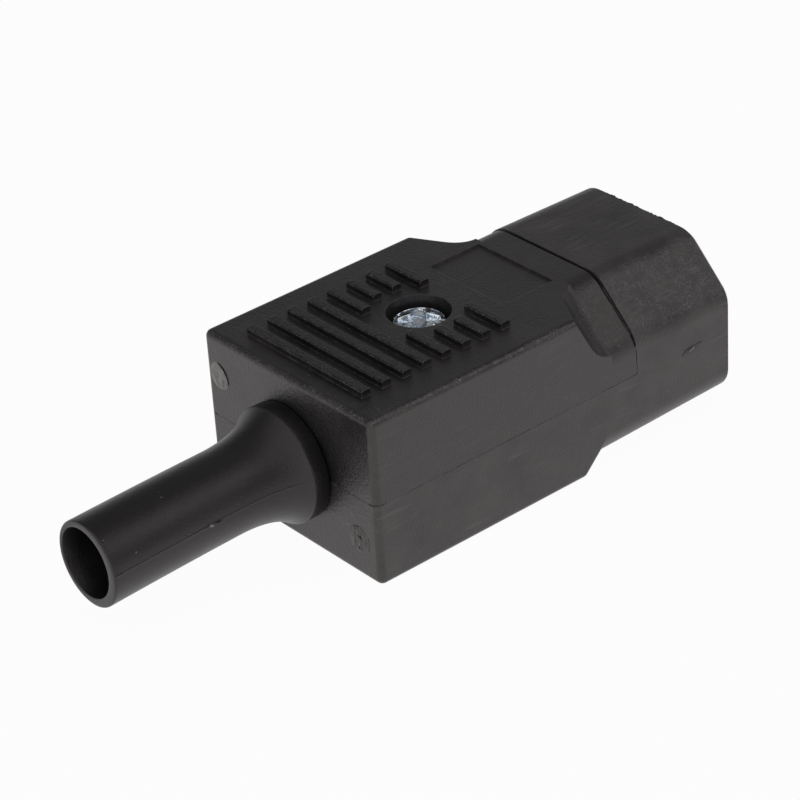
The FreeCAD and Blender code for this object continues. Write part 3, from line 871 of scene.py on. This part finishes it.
@dataclass
class Boot:
    """The flexible sleeve behind the case, with its mould flash and a slight sag."""

    finishes: Finishes
    bore_r: float = 3.42 * MM
    end_r: float = 4.2 * MM
    waist_r: float = 4.12 * MM
    flare_r: float = 5.68 * MM
    lip_r: float = 5.8 * MM
    neck_r: float = 4.4 * MM
    flange_r: float = 5.6 * MM
    lip_l: float = 1.9 * MM
    play: float = 0.1 * MM
    flange_x: float = 2.0 * MM
    flange_l: float = 1.4 * MM
    flare_from: float = 8.4 * MM
    knee_x: float = 5.2 * MM
    knee_dip: float = 0.03 * MM
    bell_x: float = 3.2 * MM
    bell_r: float = 4.72 * MM
    edge: float = 0.2 * MM
    rim: float = 0.12 * MM
    rim_inner: float = 0.3
    sag: float = 0.66 * MM
    sag_curve: float = 1.5
    lean: float = 0.14 * MM
    sag_from: float = 3.0 * MM
    bore_aside: float = 0.3 * MM
    bore_run: float = 3.0
    bore_wall: float = 0.2 * MM
    flash: float = 0.045 * MM
    flash_turn: float = 8.0
    flash_waves: float = 1500.0
    flash_seed: float = 2.0
    flash_mean: float = 0.8
    flash_swing: float = 0.9
    flash_spread: float = 0.75
    segments: int = 112
    tube_steps: int = 48
    flare_steps: int = 28
    sharp: float = 38.0

    # shares of the edge from the open end and from the outer radius
    END_BEND = ((0.0, 1.0), (0.1, 0.55), (0.35, 0.2), (0.68, 0.04), (1.0, 0.0))
    # millimetres from the lip's rear or front end, and under its radius
    LIP_REAR = ((0.05, 0.07), (0.14, 0.02), (0.3, 0.0))
    LIP_FRONT = ((0.28, 0.0), (0.1, 0.08), (0.0, 0.28))
    BORE_SHARES = (0.0, 0.2, 0.4, 0.6, 0.75, 0.85, 0.92)
    # degrees from a flash line
    FLASH_FAN = (-1.5, -0.9, -0.4, 0.4, 0.9, 1.5)
    # torn flash: place, height and half length in millimetres
    TEARS = ((-22.2, 0.12, 0.3), (-11.6, 0.24, 0.35), (-12.7, 0.12, 0.3), (-14.6, 0.05, 0.3))

    def flare(self, end: Vector) -> List[Pair]:
        """Draw the trumpet from the waist to the lip, as a smooth curve with two knees.

        Args:
            end: where it meets the lip.

        Returns:
            Its points after the first.
        """
        start = Vector((-self.flare_from, self.waist_r))
        near = Vector((-self.knee_x, self.waist_r - self.knee_dip))
        far = Vector((-self.bell_x, self.bell_r))
        points = []
        for step in range(1, self.flare_steps + 1):
            t = step / self.flare_steps
            u = 1.0 - t
            spot = start * u ** 3 + near * (3 * u * u * t) + far * (3 * u * t * t) + end * t ** 3
            points.append((spot.x, spot.y))
        return points

    def outline(self, length: float) -> List[Pair]:
        """Draw the closed half section.

        Args:
            length: the sleeve's length behind the case.

        Returns:
            Its points as (x from the rear face, radius).
        """
        points = [(-length + self.edge * a, self.end_r - self.edge * b) for a, b in self.END_BEND]
        run = length - self.edge - self.flare_from
        for step in range(1, self.tube_steps + 1):
            share = step / self.tube_steps
            points.append((-length + self.edge + run * share,
                           self.end_r + (self.waist_r - self.end_r) * share))
        lip = -self.play - self.lip_l
        inner = self.flange_x + self.flange_l
        points += self.flare(Vector((lip, self.flare_r)))
        points += [(lip + a * MM, self.lip_r - b * MM) for a, b in self.LIP_REAR]
        points += [(-self.play - a * MM, self.lip_r - b * MM) for a, b in self.LIP_FRONT]
        points += [
            (-self.play, self.neck_r), (self.flange_x, self.neck_r),
            (self.flange_x, self.flange_r), (inner, self.flange_r), (inner, self.bore_r)]
        points += [(-length * share, self.bore_r) for share in self.BORE_SHARES]
        points += [(-length + self.rim, self.bore_r),
                   (-length + self.rim_inner * self.rim, self.bore_r + self.rim_inner * self.rim),
                   (-length, self.bore_r + self.rim)]
        return points

    def turns(self) -> List[float]:
        """Lay angles round the sleeve, closer together at both flash lines.

        Returns:
            The angles from the first line, in order.
        """
        plain = [math.tau * i / self.segments for i in range(self.segments)]
        near = [line + math.radians(v) for line in (0.0, math.pi) for v in self.FLASH_FAN]
        return sorted((v % math.tau) for v in plain + near)

    def flash_height(self, x: float, turn: float) -> float:
        """Find how far the mould flash stands proud.

        Args:
            x: the place from the rear face.
            turn: the angle from the flash line.

        Returns:
            The height there.
        """
        off = min(abs(turn), abs(turn - math.pi), abs(turn - math.tau))
        ridge = math.exp(-(off / math.radians(self.flash_spread)) ** 2)
        line = round(math.cos(turn))
        wave = noise.noise(Vector((x * self.flash_waves, line, self.flash_seed)))
        uneven = self.flash_mean + self.flash_swing * wave
        torn = 0.0
        for spot, size, width in self.TEARS:
            torn += size * MM * math.exp(-((x / MM - spot) / width) ** 2)
        return ridge * (self.flash * uneven + torn)

    def build(self) -> None:
        """Make the sleeve."""
        low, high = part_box("cable_boot")
        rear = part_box("upper_cover")[0].x
        axis_z = (low.z + high.z) / 2
        length = rear - low.x
        turned = -math.radians(self.flash_turn)
        turns = self.turns()
        rings = []
        for x, radius in self.outline(length):
            along = max(0.0, (-x - self.sag_from) / (length - self.sag_from))
            bored = radius < self.bore_r + self.bore_wall and x < 0.0
            marked = not bored and x < -self.lip_l - self.play
            aside = self.lean * along
            if bored:
                aside += self.bore_aside * max(0.0, along * self.bore_run - self.bore_run + 1.0)
            ring = []
            for turn in turns:
                reach = radius + (self.flash_height(x, turn) if marked else 0.0)
                y = math.cos(turn + turned) * reach + aside
                drop = self.sag * along ** self.sag_curve
                ring.append(Vector((rear + x, y, axis_z + math.sin(turn + turned) * reach - drop)))
            rings.append(ring)
        piece = new_piece("boot_sleeve", skinned(rings, True), self.finishes.boot, self.sharp)
        place(piece, "case", "cable_boot")


class ThreadTree:
    """A node tree that winds a thread ridge round a screw's core."""

    KINDS = {"Turns": "Float", "Radius": "Float", "Length": "Float", "Ridge": "Float",
             "Place": "Vector", "Material": "Material"}
    TURN_STEPS = 24
    RIDGE_SIDES = 4

    def __init__(self) -> None:
        """Lay out the tree with its named inputs."""
        self.tree = bpy.data.node_groups.new("screw_thread", "GeometryNodeTree")
        face = self.tree.interface
        self.sockets = {
            name: face.new_socket(name=name, in_out="INPUT",
                                  socket_type=f"NodeSocket{kind}").identifier
            for name, kind in self.KINDS.items()}
        face.new_socket(name="Geometry", in_out="OUTPUT", socket_type="NodeSocketGeometry")
        given = add_node(self.tree, "NodeGroupInput").outputs
        spiral = add_node(self.tree, "GeometryNodeCurveSpiral", {
            "Resolution": self.TURN_STEPS, "Rotations": given["Turns"],
            "Start Radius": given["Radius"], "End Radius": given["Radius"],
            "Height": given["Length"]})
        ridge = add_node(self.tree, "GeometryNodeCurvePrimitiveCircle", {
            "Resolution": self.RIDGE_SIDES, "Radius": given["Ridge"]})
        wound = add_node(self.tree, "GeometryNodeCurveToMesh", {
            "Curve": spiral.outputs[0], "Profile Curve": ridge.outputs[0], "Fill Caps": True})
        moved = add_node(self.tree, "GeometryNodeTransform", {
            "Geometry": wound.outputs[0], "Translation": given["Place"]})
        real = add_node(self.tree, "GeometryNodeRealizeInstances", {0: moved.outputs[0]})
        dressed = add_node(self.tree, "GeometryNodeSetMaterial", {
            "Geometry": real.outputs[0], "Material": given["Material"]})
        add_node(self.tree, "NodeGroupOutput", {0: dressed.outputs[0]})

    def mesh(self, values: Dict[str, Any]) -> bpy.types.Mesh:
        """Run the tree.

        Args:
            values: its named inputs.

        Returns:
            The thread as a plain mesh.
        """
        carrier = bpy.data.objects.new("thread", bpy.data.meshes.new("thread"))
        bpy.context.scene.collection.objects.link(carrier)
        modifier = carrier.modifiers.new("thread", "NODES")
        modifier.node_group = self.tree
        for name, value in values.items():
            modifier[self.sockets[name]] = value
        bake_modifiers(carrier)
        made = carrier.data
        bpy.data.objects.remove(carrier)
        return made


@dataclass
class Screw:
    """An upright screw with a driven head and a wound thread.

    Attributes:
        shank_r: the radius over the thread.
        crown: how far the head's middle stands over its rim.
        turn: the angle in degrees at which the recess lies.
    """

    node: str
    body: str
    drive: Drive
    head_r: float
    head_h: float
    shank_r: float
    crown: float
    turn: float = 0.0
    dents: float = 0.0
    pitch: float = 0.5 * MM
    ridge: float = 0.2 * MM
    around: int = 120
    steps: int = 40

    # recess: shares of the head's radius or height, curves, and soft edges in metres
    SLOT_HALF, SLOT_EDGE, SLOT_DEPTH = 0.36 * MM, 0.06 * MM, 0.5
    ARM, ARM_WIDTH, ARM_FLARE, ARM_DEPTH, ARM_CURVE = 0.8, 0.2, 0.14, 0.52, 0.7
    ARM_EDGE = 0.09 * MM
    HEART, HEART_DEPTH, HEART_CURVE = 0.62, 0.5, 0.6
    DENT_WAVES = 1700.0
    # rounded rim, relief under the head, neck, point, the thread's margin at both ends
    RIM = 0.14 * MM
    RIM_SHARES = (0.35, 0.65, 0.88, 1.0)
    RELIEF, NECK, POINT, POINT_SHARE, MARGIN = 0.1 * MM, 0.3 * MM, 0.5 * MM, 0.6, 0.6 * MM
    SHARP = 36.0

    def recess(self, x: float, y: float) -> float:
        """Find how deep the driver recess lies.

        Args:
            x: the place along the slot, from the head's middle.
            y: the place across it.

        Returns:
            The depth there.
        """
        if self.drive is Drive.SLOT:
            inside = (self.SLOT_HALF - abs(y)) / self.SLOT_EDGE
            return self.SLOT_DEPTH * self.head_h * min(1.0, max(0.0, inside))
        reach, aside = max(abs(x), abs(y)), min(abs(x), abs(y))
        arm = self.ARM * self.head_r
        if reach >= arm:
            return 0.0
        left = 1.0 - reach / arm
        width = (self.ARM_WIDTH + self.ARM_FLARE * left) * self.head_r
        inside = min(1.0, max(0.0, (width - aside) / self.ARM_EDGE))
        depth = self.ARM_DEPTH * self.head_h * left ** self.ARM_CURVE * inside
        heart = max(0.0, 1.0 - (abs(x) + abs(y)) / (self.HEART * self.head_r))
        return max(depth, self.HEART_DEPTH * self.head_h * heart ** self.HEART_CURVE)

    def head_rings(self, top: float) -> List[Tuple[float, float, bool]]:
        """Draw the head from its middle to its rim.

        Args:
            top: the height of its middle.

        Returns:
            Its rings as (radius, height, recessed).
        """
        rings = [((self.head_r - self.RIM) * i / self.steps,
                  top - self.crown * (i / self.steps) ** 2, True)
                 for i in range(1, self.steps + 1)]
        rim = top - self.crown
        for share in self.RIM_SHARES:
            rings.append((self.head_r - self.RIM * (1.0 - share), rim - self.RIM * share * share,
                          False))
        return rings

    def build(self, material: Material, thread: ThreadTree) -> None:
        """Make the screw in its solid's place.

        Args:
            material: the plated metal.
            thread: the tree that winds its thread.
        """
        low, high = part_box(self.node)
        middle = (low + high) / 2
        seat = high.z - self.head_h
        core = self.shank_r - self.ridge
        rings = self.head_rings(high.z) + [
            (self.head_r, seat + self.RELIEF, False), (self.head_r - self.RELIEF, seat, False),
            (self.shank_r, seat, False), (core, seat - self.NECK, False),
            (core, low.z + self.POINT, False), (self.POINT_SHARE * core, low.z, False)]
        facing = math.radians(self.turn)
        points = []
        for radius, z, recessed in rings:
            ring = []
            for step in range(self.around):
                turn = math.tau * (step + 0.5) / self.around
                sink = 0.0
                if recessed:
                    spot = Vector((math.cos(turn), math.sin(turn), 0.0)) * radius
                    dent = self.dents * (1.0 + noise.noise(spot * self.DENT_WAVES))
                    sink = self.recess(spot.x, spot.y) + dent
                ring.append(Vector((middle.x + math.cos(turn + facing) * radius,
                                    middle.y + math.sin(turn + facing) * radius, z - sink)))
            points.append(ring)
        shape = skinned(points, False)
        bottom = low.z + self.MARGIN
        run = seat - self.MARGIN - bottom
        wound = thread.mesh({
            "Turns": run / self.pitch, "Radius": core, "Length": run, "Ridge": self.ridge,
            "Place": (middle.x, middle.y, bottom), "Material": material})
        shape.from_mesh(wound)
        bpy.data.meshes.remove(wound)
        piece = new_piece(self.node + "_dressed", shape, material, self.SHARP)
        place(piece, self.body, self.node)


SCREWS = (
    Screw("cover_screw", "cover_screw", Drive.CROSS, head_r=2.5 * MM, head_h=2.0 * MM,
          shank_r=1.5 * MM, crown=0.45 * MM, turn=-38.0, dents=0.06 * MM),
    *(Screw(f"cord_grip_screw_{side}", f"grip_screw_{side}", Drive.CROSS, head_r=2.1 * MM,
            head_h=1.7 * MM, shank_r=1.25 * MM, crown=0.3 * MM) for side in ("left", "right")),
    *(Screw(f"{pole}_screw", f"{pole}_screw", Drive.SLOT, head_r=2.3 * MM, head_h=1.8 * MM,
            shank_r=1.45 * MM, crown=0.1 * MM) for pole in POLES))


@dataclass(frozen=True)
class Lamp:
    """A soft square lamp: its place, its side in metres and its power in watts."""

    name: str
    spot: Triple
    size: float
    power: float


@dataclass(frozen=True)
class Glow:
    """A soft part of the sky: the way it lies, where it fades in and its strengths."""

    side: Triple
    levels: Pair
    strengths: Pair


@dataclass
class Studio:
    """The floor, the soft surrounding light, the lamps and the camera."""

    azimuth: float = -38.568
    elevation: float = 31.447
    roll: float = -3.881
    distance: float = 294.387 * MM
    target: Triple = (0.404 * MM, -1.342 * MM, 8.5 * MM)
    focal_px: float = 3170.577
    centre_px: Pair = (395.198, 417.258)
    image_px: float = 800.0
    sensor_mm: float = 36.0
    clip_start: float = 0.01
    floor_half: float = 1.5
    floor_drop: float = 0.02 * MM
    floor_white: float = 0.96
    floor_tones: Pair = (0.86, 0.9)
    sweep_heights: Pair = (0.05, 0.5)
    sweep_strength: float = 0.6

    GLOWS = (Glow((-0.6, -0.36, 0.72), (0.0, 0.95), (0.04, 0.32)),
             Glow((0.53, 0.67, 0.52), (0.6, 0.95), (0.0, 0.12)))
    LAMPS = (Lamp("key_soft", (-0.5, -0.25, 0.55), 1.4, 3.4),
             Lamp("side_soft", (0.42, -0.42, 0.52), 0.5, 0.95),
             Lamp("far_soft", (0.16, 0.12, 0.2), 0.12, 0.01))

    def camera(self) -> None:
        """Set the camera at the photograph's viewpoint."""
        a, e, r = (math.radians(v) for v in (self.azimuth, self.elevation, self.roll))
        back = Vector((math.sin(a) * math.cos(e), -math.cos(a) * math.cos(e), math.sin(e)))
        right = Vector((math.cos(a), math.sin(a), 0.0))
        up = back.cross(right)
        across = right * math.cos(r) + up * math.sin(r)
        upward = up * math.cos(r) - right * math.sin(r)
        data = bpy.data.cameras.new("camera")
        data.sensor_width = self.sensor_mm
        data.lens = self.focal_px / self.image_px * data.sensor_width
        data.shift_x = (self.image_px / 2 - self.centre_px[0]) / self.image_px
        data.shift_y = (self.centre_px[1] - self.image_px / 2) / self.image_px
        data.clip_start = self.clip_start
        camera = bpy.data.objects.new("camera", data)
        turn = Matrix((across, upward, back)).transposed().to_4x4()
        spot = Vector(self.target) + back * self.distance
        camera.matrix_world = Matrix.Translation(spot) @ turn
        bpy.context.scene.collection.objects.link(camera)
        bpy.context.scene.camera = camera

    def paper(self) -> Material:
        """Make the pale floor's material, which shows white and keeps a soft shadow.

        Returns:
            The material.
        """
        material, sheet = new_material("floor_white")
        path = sheet.add("LightPath").outputs
        seen = sheet.math("MAXIMUM", path["Is Glossy Ray"], path["Is Transmission Ray"])
        shown = sheet.product(path["Is Camera Ray"], self.floor_white)
        share = sheet.math("MAXIMUM", seen, shown)
        dark, pale = (rgba((tone,) * 3) for tone in self.floor_tones)
        colour = sheet.blend(sheet.patches(PAPER), dark, pale)
        matt = sheet.add("BsdfDiffuse", {"Color": colour}).outputs[0]
        glow = sheet.add("Emission", {"Strength": 1.0}).outputs[0]
        sheet.surface(sheet.add("MixShader", {0: share, 1: matt, 2: glow}).outputs[0])
        return material

    def floor(self) -> None:
        """Lay the floor."""
        shape = bmesh.new()
        half = self.floor_half
        shape.faces.new([shape.verts.new((x * half, y * half, -self.floor_drop))
                         for x, y in ((-1, -1), (1, -1), (1, 1), (-1, 1))])
        mesh = bpy.data.meshes.new("floor")
        shape.to_mesh(mesh)
        shape.free()
        mesh.materials.append(self.paper())
        floor = bpy.data.objects.new("floor", mesh)
        bpy.context.scene.collection.objects.link(floor)

    def world(self) -> None:
        """Surround the scene with a soft light that is stronger on one side and low down."""
        world = bpy.data.worlds.new("studio")
        world.use_nodes = True
        sheet = NodeSheet(world.node_tree, "Generated")
        height = sheet.add("SeparateXYZ", {0: sheet.coords}).outputs["Z"]
        light = sheet.span(height, self.sweep_heights, (self.sweep_strength, 0.0), True)
        for glow in self.GLOWS:
            facing = sheet.dot(sheet.coords, Vector(glow.side).normalized())
            lobe = sheet.span(facing, glow.levels, glow.strengths, True)
            light = sheet.math("ADD", light, lobe)
        sheet.surface(sheet.add("Background", {"Strength": light}).outputs[0])
        bpy.context.scene.world = world

    def hang(self, lamp: Lamp) -> None:
        """Hang a lamp so that it looks at the connector.

        Args:
            lamp: the lamp.
        """
        data = bpy.data.lights.new(lamp.name, "AREA")
        data.size = lamp.size
        data.energy = lamp.power
        hung = bpy.data.objects.new(lamp.name, data)
        hung.location = lamp.spot
        away = Vector(lamp.spot) - Vector(self.target)
        hung.rotation_euler = away.to_track_quat("Z", "Y").to_euler()
        bpy.context.scene.collection.objects.link(hung)

    def build(self) -> None:
        """Set up the whole studio."""
        self.camera()
        self.floor()
        self.world()
        for lamp in self.LAMPS:
            self.hang(lamp)
        bpy.context.scene.view_settings.view_transform = "Standard"


def main() -> None:
    """Build the studio and every piece of the connector."""
    logging.basicConfig(level=logging.INFO, format="%(name)s: %(message)s")
    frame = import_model()
    Studio().build()
    finishes = Finishes()
    SolidSkins(finishes, frame["nodes"]).build()
    MouldMarks(finishes).build()
    Boot(finishes).build()
    thread = ThreadTree()
    for screw in SCREWS:
        battered = screw.node == "cover_screw"
        screw.build(finishes.battered if battered else finishes.zinc, thread)


if __name__ == "__main__":
    main()
